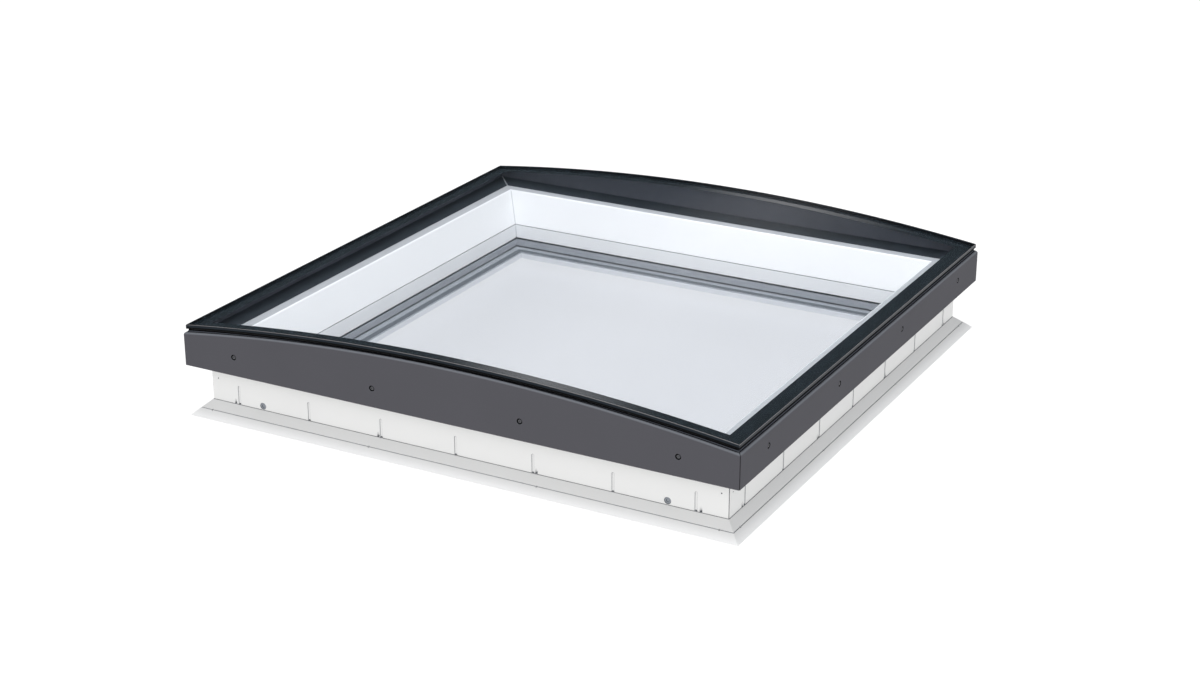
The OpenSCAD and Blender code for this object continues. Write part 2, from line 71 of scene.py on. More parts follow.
Socket = bpy.types.NodeSocket
Material = bpy.types.Material
Piece = bpy.types.Object


class Side(Enum):
    """The four sides of the frame, counted counter-clockwise from the front."""

    FRONT = 0
    RIGHT = 1
    BACK = 2
    LEFT = 3

    @property
    def label(self) -> str:
        """The side's word in the names of its pieces."""
        return self.name.lower()

    @property
    def arched(self) -> bool:
        """Whether the curved glass rises along this side."""
        return self in (Side.FRONT, Side.BACK)


class Slot(Enum):
    """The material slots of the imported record."""

    KERB_WHITE = "kerb_white"
    BEAD_WHITE = "bead_white"
    COVER_ANTHRACITE = "cover_anthracite"
    RIM_SLATE = "rim_slate"
    SEAL_BLACK = "seal_black"
    OUTER_GLASS = "outer_glass"
    FLAT_GLASS = "flat_glass"
    SPACER_GREY = "spacer_grey"
    GASKET_GREY = "gasket_grey"
    SCREW_STEEL = "screw_steel"
    CLEAT_METAL = "cleat_metal"
    PLUG_GREY = "plug_grey"
    FOAM = "foam"


# ---- Finishes ----


def shaded(colour: Colour, share: float) -> Colour:
    """The same colour, darker or brighter."""
    return tuple(c * share for c in colour)


class Wiring:
    """Adds nodes to the shader tree of a material or a world, and connects them."""

    # Sockets of a Mix node that mixes colours
    MIX_SHARE, MIX_FIRST, MIX_SECOND, MIX_RESULT = 0, 6, 7, 2

    def __init__(self, tree: bpy.types.NodeTree) -> None:
        """Empties the tree.

        Args:
            tree: The tree that the nodes go into.
        """
        self.tree = tree
        self.tree.nodes.clear()

    def node(self, kind: str, inputs: Inputs | None = None, **settings: object) -> bpy.types.Node:
        """Adds a node.

        Args:
            kind: The node's type name.
            inputs: Values or sockets for its inputs.
            settings: Values for its own properties.

        Returns:
            The new node.
        """
        made = self.tree.nodes.new(kind)
        for key, value in settings.items():
            setattr(made, key, value)
        for key, value in (inputs or {}).items():
            if isinstance(value, Socket):
                self.tree.links.new(value, made.inputs[key])
            else:
                made.inputs[key].default_value = value
        return made

    def mixed(self, share: Socket | float, first: Socket | Colour, second: Socket | Colour,
              **settings: object) -> Socket:
        """Mixes two colours.

        Args:
            share: How much of the second colour there is.
            first: The first colour.
            second: The second colour.
            settings: Values for the mixing node's own properties.

        Returns:
            The mixed colour.
        """
        pair = [(*colour, 1) if isinstance(colour, tuple) else colour for colour in (first, second)]
        inputs = {self.MIX_SHARE: share, self.MIX_FIRST: pair[0], self.MIX_SECOND: pair[1]}
        return self.node("ShaderNodeMix", inputs, data_type="RGBA", **settings).outputs[self.MIX_RESULT]


class ShaderTree(Wiring):
    """Writes the shader nodes of one material, in the object's own coordinates."""

    # Where most of a noise's values lie
    NOISE_RANGE: Range = (0.3, 0.7)
    OPENNESS_SAMPLES = 8

    def __init__(self, name: str) -> None:
        """Starts an empty material.

        Args:
            name: The material's name.
        """
        self.material = bpy.data.materials.new(name)
        self.material.use_nodes = True
        super().__init__(self.material.node_tree)
        self.place = self.node("ShaderNodeTexCoord").outputs["Object"]

    def grain(self, size: float, detail: float = 2.0, rough: float = 0.5) -> Socket:
        """Adds a noise.

        Args:
            size: Length of one grain, in metres.
            detail: Number of finer layers.
            rough: Share that each finer layer keeps.

        Returns:
            The noise's value, from 0 to 1.
        """
        noise = self.node("ShaderNodeTexNoise", {
            "Vector": self.place, "Scale": 1 / size, "Detail": detail, "Roughness": rough,
        })
        return noise.outputs["Fac"]

    def spread(self, noise: Socket, low: float, high: float) -> Socket:
        """Maps the values that a noise mostly has onto a range.

        Args:
            noise: The noise.
            low: Result where the noise is low.
            high: Result where the noise is high.

        Returns:
            The mapped value.
        """
        start, end = self.NOISE_RANGE
        mapped = self.node("ShaderNodeMapRange", {
            "Value": noise, "From Min": start, "From Max": end, "To Min": low, "To Max": high,
        })
        return mapped.outputs["Result"]

    def blend(self, noise: Socket, first: Colour, second: Colour) -> Socket:
        """A colour that goes from the first to the second as the noise rises."""
        return self.mixed(self.spread(noise, 0.0, 1.0), first, second)

    def relief(self, noise: Socket, depth: float) -> Socket:
        """A bumpy normal from a noise, with bumps of a real depth in metres."""
        inputs = {"Strength": 1.0, "Distance": depth, "Height": noise}
        return self.node("ShaderNodeBump", inputs).outputs["Normal"]

    def shift(self, colour: Socket, other: Colour, value: Socket, start: float, full: float) -> Socket:
        """Turns one colour into another as a value goes from start to full.

        Args:
            colour: The first colour.
            other: The second colour.
            value: The value that decides.
            start: Value where the second colour starts.
            full: Value where it is complete.

        Returns:
            The resulting colour.
        """
        share = self.node("ShaderNodeMapRange", {"Value": value, "From Min": start, "From Max": full})
        return self.mixed(share.outputs["Result"], colour, other)

    def facing_up(self) -> Socket:
        """How far a face looks up: 0 on a wall, 1 on a level face."""
        normal = self.node("ShaderNodeNewGeometry").outputs["Normal"]
        return self.node("ShaderNodeSeparateXYZ", {0: normal}).outputs["Z"]

    def height(self) -> Socket:
        """Height above the deck, in metres."""
        return self.node("ShaderNodeSeparateXYZ", {0: self.place}).outputs["Z"]

    def openness(self, reach: float) -> Socket:
        """How open a place is: 1 in the open, less in joints narrower than the reach."""
        inputs = {"Distance": reach}
        return self.node("ShaderNodeAmbientOcclusion", inputs, samples=self.OPENNESS_SAMPLES).outputs["AO"]

    def finish(self, surface: Socket) -> Material:
        """Connects the surface and returns the material."""
        self.node("ShaderNodeOutputMaterial", {"Surface": surface})
        return self.material


class Finish(ABC):
    """What every finish can do."""

    @abstractmethod
    def material(self, name: str) -> Material:
        """Writes the material.

        Args:
            name: The name that it gets.

        Returns:
            The new material.
        """


@dataclass(frozen=True)
class Coat(Finish):
    """An opaque finish: a cloudy base tone, a fine grain in colour and gloss, and a fine relief.

    Faces that look up can take on a top colour, which is painted light: it stands in for the light or
    shade that falls on them.
    The lowest part can take a foot colour, which is painted light, and joints, grooves and holes narrower
    than the crease shade reach take a crease shade colour, which is painted shade.
    Each has the value where it starts and the value where it is complete.
    """

    colour: Colour
    shade: float = 0.94
    roughness: float = 0.45
    gloss_play: float = 0.06
    grain: float = 0.6 * MM
    depth: float = 0.02 * MM
    cloud: float = 120 * MM
    metallic: float = 0.0
    specular: float = 0.5
    index: float = 1.5
    grain_shade: float = 0.97
    # Painted light: colour for faces that look up, standing in for the light or shade they get
    top: Colour | None = None
    painted_top_range: Range = (0.97, 0.99)
    # Painted light: a lighter colour for the lowest part
    foot: Colour | None = None
    painted_foot_range: Range = (16 * MM, 4 * MM)
    # Painted shade: colour of joints, grooves and holes, darker where ambient occlusion is low
    crease: Colour | None = None
    crease_shade_range: Range = (0.85, 0.2)
    crease_shade_reach: float = 4 * MM

    def material(self, name: str) -> Material:
        """Writes the material.

        Args:
            name: The name that it gets.

        Returns:
            The new material.
        """
        tree = ShaderTree(name)
        fine = tree.grain(self.grain, detail=3.0, rough=0.6)
        tone = tree.blend(tree.grain(self.cloud), shaded(self.colour, self.shade), self.colour)
        speck = tree.blend(fine, (self.grain_shade,) * 3, (1.0, 1.0, 1.0))
        colour = tree.mixed(1.0, tone, speck, blend_type="MULTIPLY")
        # Painted light on faces that look up: the top colour stands in for the light or shade they get
        if self.top is not None:
            colour = tree.shift(colour, self.top, tree.facing_up(), *self.painted_top_range)
        # Painted shade in joints, grooves and holes, from ambient occlusion
        if self.crease is not None:
            colour = tree.shift(colour, self.crease, tree.openness(self.crease_shade_reach), *self.crease_shade_range)
        # Painted light on the lowest part: the foot colour is lighter
        if self.foot is not None:
            colour = tree.shift(colour, self.foot, tree.height(), *self.painted_foot_range)
        shader = tree.node("ShaderNodeBsdfPrincipled", {
            "Base Color": colour,
            "Roughness": tree.spread(
                fine, self.roughness - self.gloss_play, self.roughness + self.gloss_play
            ),
            "Metallic": self.metallic,
            "IOR": self.index,
            "Specular IOR Level": self.specular,
            "Normal": tree.relief(fine, self.depth),
        })
        return tree.finish(shader.outputs[0])


@dataclass(frozen=True)
class TurnedSteel(Finish):
    """Stainless steel with fine marks in its gloss and relief, and faint stains."""

    colour: Colour = (0.42, 0.43, 0.45)
    shade: float = 0.85
    stain: float = 6 * MM
    mark: float = 0.25 * MM
    mark_depth: float = 0.01 * MM
    roughness: Range = (0.26, 0.44)

    def material(self, name: str) -> Material:
        """Writes the material.

        Args:
            name: The name that it gets.

        Returns:
            The new material.
        """
        tree = ShaderTree(name)
        marks = tree.grain(self.mark, detail=1.0)
        stains = tree.grain(self.stain)
        shader = tree.node("ShaderNodeBsdfPrincipled", {
            "Base Color": tree.blend(stains, shaded(self.colour, self.shade), self.colour),
            "Roughness": tree.spread(marks, *self.roughness),
            "Metallic": 1.0,
            "Normal": tree.relief(marks, self.mark_depth),
        })
        return tree.finish(shader.outputs[0])


@dataclass(frozen=True)
class ClearGlass(Finish):
    """Smooth glass that lamps shine through, with the faintest unevenness of its tint."""

    tint: Colour
    lamp_tint: Colour
    index: float = 1.5
    ripple: float = 300 * MM
    ripple_shade: float = 1.004

    def material(self, name: str) -> Material:
        """Writes the material.

        Args:
            name: The name that it gets.

        Returns:
            The new material.
        """
        tree = ShaderTree(name)
        tone = tree.blend(tree.grain(self.ripple), self.tint, shaded(self.tint, self.ripple_shade))
        glass = tree.node("ShaderNodeBsdfPrincipled", {
            "Base Color": tone,
            "Roughness": 0.0,
            "IOR": self.index,
            "Transmission Weight": 1.0,
        })
        lamps = tree.node("ShaderNodeBsdfTransparent", {"Color": (*self.lamp_tint, 1)})
        rays = tree.node("ShaderNodeLightPath")
        mixed = tree.node("ShaderNodeMixShader", {
            0: rays.outputs["Is Shadow Ray"], 1: glass.outputs[0], 2: lamps.outputs[0],
        })
        return tree.finish(mixed.outputs[0])


@dataclass(frozen=True)
class LightTable(Finish):
    """A table top that is lit from inside, with a faint fibre in what it reflects."""

    colour: Colour = (0.1, 0.1, 0.1)
    glow: float = 1.0
    fibre: float = 2 * MM
    fibre_shade: float = 0.99
    roughness: float = 0.9
    specular: float = 0.05

    def material(self, name: str) -> Material:
        """Writes the material.

        Args:
            name: The name that it gets.

        Returns:
            The new material.
        """
        tree = ShaderTree(name)
        shader = tree.node("ShaderNodeBsdfPrincipled", {
            "Base Color": tree.blend(
                tree.grain(self.fibre), shaded(self.colour, self.fibre_shade), self.colour
            ),
            "Roughness": self.roughness,
            "Specular IOR Level": self.specular,
            "Emission Color": (1, 1, 1, 1),
            "Emission Strength": self.glow,
        })
        return tree.finish(shader.outputs[0])


# Painted shade: the colour that joints, grooves and holes of the white parts take
CREASE_SHADE = (0.1, 0.115, 0.14)
FINISHES: dict[Slot, Finish] = {
    # Kerb white: the foot colour is painted light, lighter towards the deck, and the crease colour is
    # painted shade in joints and grooves
    Slot.KERB_WHITE: Coat(
        (0.83, 0.83, 0.82), shade=0.985, roughness=0.42, depth=0.008 * MM, grain_shade=0.99,
        foot=(0.97, 0.97, 0.965), crease=CREASE_SHADE, crease_shade_range=(0.9, 0.4),
    ),
    # Bead white: the crease colour is painted shade in its joints
    Slot.BEAD_WHITE: Coat(
        (0.86, 0.875, 0.89), shade=0.985, roughness=0.36, depth=0.006 * MM, grain_shade=0.99,
        crease=CREASE_SHADE, crease_shade_reach=3 * MM,
    ),
    # Cover: the top colour is a painted highlight on the rounded upper edge, and the near-black crease
    # colour is painted shade on the top face under the glass and in the screw holes
    Slot.COVER_ANTHRACITE: Coat(
        (0.094, 0.093, 0.105), shade=0.97, roughness=0.6, gloss_play=0.08, specular=0.06,
        grain=0.9 * MM, depth=0.05 * MM, grain_shade=0.86, top=(0.17, 0.18, 0.2), painted_top_range=(0.1, 0.6),
        crease=(0.003, 0.0035, 0.005), crease_shade_range=(0.85, 0.6), crease_shade_reach=11 * MM,
    ),
    Slot.RIM_SLATE: Coat(
        (0.088, 0.096, 0.116), roughness=0.5, depth=0.01 * MM, grain_shade=0.93, specular=0.1,
    ),
    Slot.SEAL_BLACK: Coat((0.003, 0.003, 0.0035), roughness=0.85, depth=0.03 * MM, specular=0.05),
    Slot.OUTER_GLASS: ClearGlass((0.94, 0.95, 0.965), (0.97, 0.98, 0.99), index=1.055),
    Slot.FLAT_GLASS: ClearGlass((0.84, 0.85, 0.868), (0.96, 0.97, 0.98), index=1.04),
    Slot.SPACER_GREY: Coat((0.56, 0.58, 0.61), roughness=0.5, depth=0.01 * MM),
    Slot.GASKET_GREY: Coat((0.56, 0.58, 0.6), roughness=0.7, depth=0.02 * MM, specular=0.3),
    Slot.SCREW_STEEL: TurnedSteel(),
    Slot.CLEAT_METAL: Coat(
        (0.6, 0.61, 0.62), roughness=0.38, metallic=1.0, grain=1.5 * MM, depth=0.01 * MM,
    ),
    # Plugs: the crease colour is painted shade in the gap round each plug
    Slot.PLUG_GREY: Coat(
        (0.3, 0.325, 0.36), roughness=0.5, depth=0.01 * MM,
        crease=(0.02, 0.025, 0.035), crease_shade_range=(0.9, 0.5),
    ),
    Slot.FOAM: Coat(
        (0.72, 0.72, 0.68), shade=0.85, roughness=0.9, grain=1.2 * MM, depth=0.3 * MM, specular=0.1,
    ),
}
# Inner white of the base rails: the kerb's white made lighter, which is painted light inside the kerb. Its
# top colour is painted shade on level faces, its foot colour is painted light on the ledge under the
# panes, and its crease colour is painted shade
LIT_INNER_WHITE = Coat(
    (0.93, 0.94, 0.95), shade=0.99, roughness=0.4, depth=0.006 * MM, grain_shade=0.99,
    top=(0.45, 0.465, 0.485), foot=(0.98, 0.985, 0.99), painted_foot_range=(34 * MM, 33 * MM), crease=CREASE_SHADE,
)
STEP_SLATE = Coat((0.024, 0.03, 0.037), roughness=0.4, depth=0.01 * MM, grain_shade=0.93, specular=0.25)
ENAMEL = Coat(
    (0.009, 0.0125, 0.0155), roughness=0.07, gloss_play=0.02, grain=0.4 * MM, depth=0.0005 * MM,
    cloud=60 * MM, specular=1.0, index=1.65,
)
POLISHED_EDGE = Coat(
    (0.016, 0.021, 0.027), roughness=0.12, gloss_play=0.03, grain=2 * MM, depth=0.002 * MM, index=1.15,
)
GROUND_ARRIS = Coat((0.2, 0.19, 0.19), roughness=0.4, grain=0.3 * MM, depth=0.01 * MM)
WELD = Coat((0.34, 0.35, 0.37), roughness=0.25, grain=0.8 * MM, depth=0.05 * MM)
SCREW_HEAD = Coat((0.085, 0.086, 0.094), roughness=0.42, specular=0.25, grain=0.4 * MM, depth=0.01 * MM)


class FinishShelf:
    """Keeps each finish's material, so that it is written only once."""

    made: dict[str, Material] = {}

    @classmethod
    def take(cls, name: str, finish: Finish) -> Material:
        """Gives the material of a finish.

        Args:
            name: The material's name.
            finish: The finish that writes it.

        Returns:
            The material.
        """
        if name not in cls.made:
            cls.made[name] = finish.material(name)
        return cls.made[name]

    @classmethod
    def slot(cls, slot: Slot) -> Material:
        """Gives the material of a slot."""
        return cls.take(slot.value, FINISHES[slot])


# ---- Making meshes ----


class MeshDraft:
    """Points and faces of a piece while it is made."""

    def __init__(self) -> None:
        """Starts with nothing."""
        self.points: list[Vector] = []
        self.faces: list[tuple[int, ...]] = []
        self.marks: list[int] = []

    def ring(self, points: Iterable[Vector]) -> list[int]:
        """Adds points.

        Args:
            points: The points, in order.

        Returns:
            Their numbers.
        """
        start = len(self.points)
        self.points.extend(Vector(p) for p in points)
        return list(range(start, len(self.points)))

    def face(self, corners: Row, mark: int = 0) -> None:
        """Adds a face.

        Args:
            corners: Numbers of its points.
            mark: Which of the piece's materials it takes.
        """
        self.faces.append(tuple(corners))
        self.marks.append(mark)

    def bridge(self, first: Row, second: Row, closed: bool = True, mark: int = 0) -> None:
        """Joins two rows of points by quads.

        Args:
            first: Numbers of the first row.
            second: Numbers of the second row, as many.
            closed: Whether the rows are rings.
            mark: Which of the piece's materials the quads take.
        """
        count = len(first)
        for i in range(count if closed else count - 1):
            j = (i + 1) % count
            self.face((first[i], first[j], second[j], second[i]), mark)

    def piece(self, name: str, materials: Sequence[Material], smooth_deg: float = 35.0) -> Piece:
        """Makes the object.

        Args:
            name: The piece's name.
            materials: Its materials, by mark.
            smooth_deg: Edges sharper than this stay sharp.

        Returns:
            The new object, with its faces turned outwards.
        """
        mesh = bpy.data.meshes.new(name)
        mesh.from_pydata(self.points, [], self.faces)
        mesh.polygons.foreach_set("material_index", self.marks)
        for material in materials:
            mesh.materials.append(material)
        made = bpy.data.objects.new(name, mesh)
        bpy.context.scene.collection.objects.link(made)
        MeshTools.outwards(made)
        MeshTools.smooth(made, smooth_deg)
        return made


class MeshTools:
    """Work on finished meshes."""

    FLAT_WEIGHT = 90

    @staticmethod
    def outwards(piece: Piece) -> None:
        """Turns all faces outwards.

        Args:
            piece: The piece, whose mesh is closed.
        """
        work = bmesh.new()
        work.from_mesh(piece.data)
        bmesh.ops.recalc_face_normals(work, faces=work.faces)
        work.to_mesh(piece.data)
        work.free()

    @staticmethod
    def smooth(piece: Piece, angle_deg: float) -> None:
        """Shades the faces smoothly, apart from edges sharper than an angle."""
        piece.data.polygons.foreach_set("use_smooth", [True] * len(piece.data.polygons))
        piece.data.set_sharp_from_angle(angle=math.radians(angle_deg))

    @staticmethod
    def apply(piece: Piece) -> None:
        """Applies all of a piece's modifiers.

        Args:
            piece: The piece, which keeps its name and materials.
        """
        graph = bpy.context.evaluated_depsgraph_get()
        mesh = bpy.data.meshes.new_from_object(piece.evaluated_get(graph))
        old = piece.data
        piece.modifiers.clear()
        piece.data = mesh
        bpy.data.meshes.remove(old)

    @classmethod
    def cut(cls, piece: Piece, cutter: Piece) -> None:
        """Cuts one mesh out of another and removes the cutter.

        Args:
            piece: The piece to cut.
            cutter: The closed mesh that is taken away.
        """
        step = piece.modifiers.new("cut", "BOOLEAN")
        step.operation = "DIFFERENCE"
        step.solver = "EXACT"
        step.object = cutter
        cls.apply(piece)
        bpy.data.objects.remove(cutter)

    @classmethod
    def even_normals(cls, piece: Piece) -> None:
        """Weights the normals by area, so that flat faces stay flat beside rounded edges.

        Args:
            piece: The piece.
        """
        step = piece.modifiers.new("normals", "WEIGHTED_NORMAL")
        step.keep_sharp = True
        step.weight = cls.FLAT_WEIGHT
        cls.apply(piece)


@dataclass(frozen=True)
class Plan:
    """The cover's outline in plan, which all insets are measured from."""

    half_x: float
    half_y: float

    @classmethod
    def from_cover(cls) -> "Plan":
        """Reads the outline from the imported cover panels."""
        return cls(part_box("cover_panel_right")[1].x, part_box("cover_panel_back")[1].y)

    def run(self, side: Side) -> float:
        """Half the length of a side."""
        return self.half_x if side.arched else self.half_y

    def reach(self, side: Side) -> float:
        """Distance of a side from the middle."""
        return self.half_y if side.arched else self.half_x

    def at(self, side: Side, along: float, inset: float, height: float) -> Vector:
        """Gives a point of a side.

        Args:
            side: The side.
            along: Distance from the side's middle, to the right seen from outside.
            inset: Distance inwards from the cover's face.
            height: Height above the deck.

        Returns:
            The point in the model's frame.
        """
        out = self.reach(side) - inset
        turned = {
            Side.FRONT: (along, -out), Side.RIGHT: (out, along),
            Side.BACK: (-along, out), Side.LEFT: (-out, -along),
        }[side]
        return Vector((*turned, height))

    def rail(self, side: Side, outline: Outline, seam: float = 0.0, steps: int = 1) -> MeshDraft:
        """Lofts a mitred rail along a side.

        Args:
            side: The side.
            outline: Its section: each point's inset, and its height by distance from the middle plane.
            seam: Joint left open at each mitre.
            steps: Number of stretches along the side.

        Returns:
            The rail's draft.
        """
        draft = MeshDraft()
        rows = []
        for k in range(steps + 1):
            share = 2 * k / steps - 1
            row = []
            for inset, height in outline:
                along = share * (self.run(side) - seam - inset)
                across = along if side.arched else self.reach(side) - inset
                row.append(self.at(side, along, inset, height(across)))
            rows.append(draft.ring(row))
        for first, second in zip(rows, rows[1:]):
            draft.bridge(first, second)
        draft.face(rows[0])
        draft.face(rows[-1])
        return draft


@dataclass(frozen=True)
class Arch:
    """An arc in the XZ plane, symmetrical about the middle."""

    radius: float
    centre_z: float

    @classmethod
    def through(cls, half: float, foot_z: float, top_z: float) -> "Arch":
        """Fits the arc.

        Args:
            half: Half its chord.
            foot_z: Height of its ends.
            top_z: Height of its top.

        Returns:
            The arc.
        """
        rise = top_z - foot_z
        radius = (half * half + rise * rise) / (2 * rise)
        return cls(radius, top_z - radius)

    def height(self, across: float, lift: float = 0.0) -> float:
        """Height of the arc, or of one lifted off it, at a distance from the middle."""
        return self.centre_z + math.sqrt((self.radius + lift) ** 2 - across * across)

    def rule(self, lift: float = 0.0) -> HeightRule:
        """The height as a rule for an outline."""
        return lambda across: self.height(across, lift)


def level(height: float) -> HeightRule:
    """The same height everywhere."""
    return lambda across: height


# ---- Sub-assemblies ----


class SubAssembly(ABC):
    """A group of pieces that is built and dressed together."""

    @abstractmethod
    def build(self) -> None:
        """Builds and dresses the pieces."""

    @staticmethod
    def dress(node: str, slot: Slot, material: Material | None = None) -> Piece:
        """Gives a piece of the construction model its finish.

        Args:
            node: The piece's name.
            slot: Its material slot.
            material: Its material, where it isn't the slot's own.

        Returns:
            The dressed piece.
        """
        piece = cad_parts[node]
        piece.data.materials.clear()
        piece.data.materials.append(material or FinishShelf.slot(slot))
        LOG.info("%s: dressed as %s", node, slot.value)
        return piece

    @classmethod
    def dress_sides(cls, kind: str, slot: Slot, material: Material | None = None) -> None:
        """Dresses the four pieces of a kind."""
        for side in Side:
            cls.dress(f"{kind}_{side.label}", slot, material)

    @staticmethod
    def mount(piece: Piece, slot: Slot, *stands_for: str) -> Piece:
        """Hands a new piece to the model.

        Args:
            piece: The piece, in place.
            slot: Its material slot; not used.
            stands_for: The construction pieces that it stands for.

        Returns:
            The piece.
        """
        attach(piece, BODY)
        if stands_for:
            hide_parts(*stands_for)
        LOG.info("%s: %d faces", piece.name, len(piece.data.polygons))
        return piece


@dataclass
class Kerb(SubAssembly):
    """White kerb frame: rails, wall panels, deck flange, foam and plugs."""

    rail_finish: Finish = LIT_INNER_WHITE

    def build(self) -> None:
        """Dresses the kerb's pieces."""
        for kind in ("wall_panel", "flange_strip"):
            self.dress_sides(kind, Slot.KERB_WHITE)
        # The base rails take the inner white, with its painted light and shade
        self.dress_sides("base_rail", Slot.KERB_WHITE, FinishShelf.take("lit_inner_white", self.rail_finish))
        self.dress_sides("insulation", Slot.FOAM)
        self.dress("hole_plugs", Slot.PLUG_GREY)


@dataclass
class GlazingUnit(SubAssembly):
    """Flat insulating glass with its spacer, sealant, gasket, setting blocks and beads."""

    arris: float = 0.6 * MM

    def build(self) -> None:
        """Builds the panes and dresses the rest."""
        for node in ("pane_upper", "pane_lower"):
            self.pane(node)
        self.dress("spacer_frame", Slot.SPACER_GREY)
        self.dress("edge_sealant", Slot.SEAL_BLACK)
        self.dress("glazing_gasket", Slot.GASKET_GREY)
        self.dress("setting_blocks", Slot.SEAL_BLACK)
        self.dress_sides("glazing_bead", Slot.BEAD_WHITE)

    def pane(self, node: str) -> None:
        """Makes a pane with ground edges in place of its plain plate.

        Args:
            node: The plate's name.
        """
        low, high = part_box(node)
        draft = MeshDraft()
        levels = (
            (self.arris, low.z), (0.0, low.z + self.arris),
            (0.0, high.z - self.arris), (self.arris, high.z),
        )
        rings = [
            draft.ring(
                Vector((sx * (high.x - inset), sy * (high.y - inset), z))
                for sx, sy in ((-1, -1), (1, -1), (1, 1), (-1, 1))
            )
            for inset, z in levels
        ]
        clear, ground = range(2)
        for first, second, mark in zip(rings, rings[1:], (ground, clear, ground)):
            draft.bridge(first, second, mark=mark)
        draft.face(rings[0])
        draft.face(rings[-1])
        materials = [FinishShelf.slot(Slot.FLAT_GLASS), FinishShelf.take("ground_arris", GROUND_ARRIS)]
        self.mount(draft.piece(f"glass_{node}", materials, smooth_deg=10), Slot.FLAT_GLASS, node)


@dataclass(frozen=True)
class WeldBead:
    """A bead of melted plastic along a mitre, thicker and thinner in a slow rhythm."""

    plan: Plan
    radius: float
    sides: int = 8
    step: float = 0.8 * MM
    ripple: float = 0.18
    ripple_length: float = 5 * MM
    end_share: float = 0.3
    end_steps: int = 3

    def draw(self, draft: MeshDraft, side: Side, path: Section) -> None:
        """Draws the bead at a side's right-hand mitre.

        Args:
            draft: The draft that it is added to.
            side: The side.
            path: Inset and height of the points it runs through.
        """
        points = self.walk(side, path)
        last = len(points) - 1
        rings = []
        travelled = 0.0
        for k, point in enumerate(points):
            ahead = points[min(k + 1, last)] - points[max(k - 1, 0)]
            across = ahead.cross(Vector((0, 0, 1))).normalized()
            upward = across.cross(ahead).normalized()
            travelled += (point - points[k - 1]).length if k else 0.0
            swell = 1 + self.ripple * math.sin(2 * math.pi * travelled / self.ripple_length)
            taper = min(1.0, self.end_share + min(k, last - k) / self.end_steps)
            radius = self.radius * swell * taper
            rings.append(draft.ring(
                point + radius * (math.cos(a) * across + math.sin(a) * upward)
                for a in (2 * math.pi * n / self.sides for n in range(self.sides))
            ))
        for first, second in zip(rings, rings[1:]):
            draft.bridge(first, second)
        draft.face(rings[0])
        draft.face(rings[-1])

    def walk(self, side: Side, path: Section) -> list[Vector]:
        """Walks along the path at even steps.

        Args:
            side: The side.
            path: Inset and height of its corners.

        Returns:
            The points, its corners included.
        """
        corners = [self.plan.at(side, self.plan.run(side) - i, i, z) for i, z in path]
        points = [corners[0]]
        for first, second in zip(corners, corners[1:]):
            count = max(1, round((second - first).length / self.step))
            points += [first.lerp(second, n / count) for n in range(1, count + 1)]
        return points


@dataclass
class Rim(SubAssembly):
    """Dark rim with its seals, cleats and blocks, and the sloping frame inside it."""

    plan: Plan
    bead_r: float = 1.6 * MM
    step_fall: float = 7.4 * MM

    def build(self) -> None:
        """Dresses the rim and draws the welds of the inner frame."""
        outer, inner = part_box("inner_frame_front")
        rim_edge = self.plan.half_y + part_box("rim_front")[1].y
        step_edge = self.plan.half_y + inner.y
        path = ((rim_edge, inner.z), (step_edge, inner.z - self.step_fall), (step_edge, outer.z))
        draft = MeshDraft()
        for side in Side:
            WeldBead(self.plan, self.bead_r).draw(draft, side, path)
        piece = draft.piece("inner_frame_welds", [FinishShelf.take("frame_weld", WELD)], smooth_deg=60)
        self.mount(piece, Slot.RIM_SLATE)
        self.dress_sides("rim", Slot.RIM_SLATE)
        self.dress_sides("inner_frame", Slot.RIM_SLATE, FinishShelf.take("step_slate", STEP_SLATE))
        self.dress_sides("weather_seal", Slot.SEAL_BLACK)
        self.dress("corner_cleats", Slot.CLEAT_METAL)
        self.dress("fixing_blocks", Slot.CLEAT_METAL)
        self.dress_sides("glass_seal", Slot.SEAL_BLACK)


class SheetMark(IntEnum):
    """The materials of the curved glass, in the order of its list."""

    CLEAR = 0
    POLISHED = 1
    GROUND = 2
    SEALED = 3


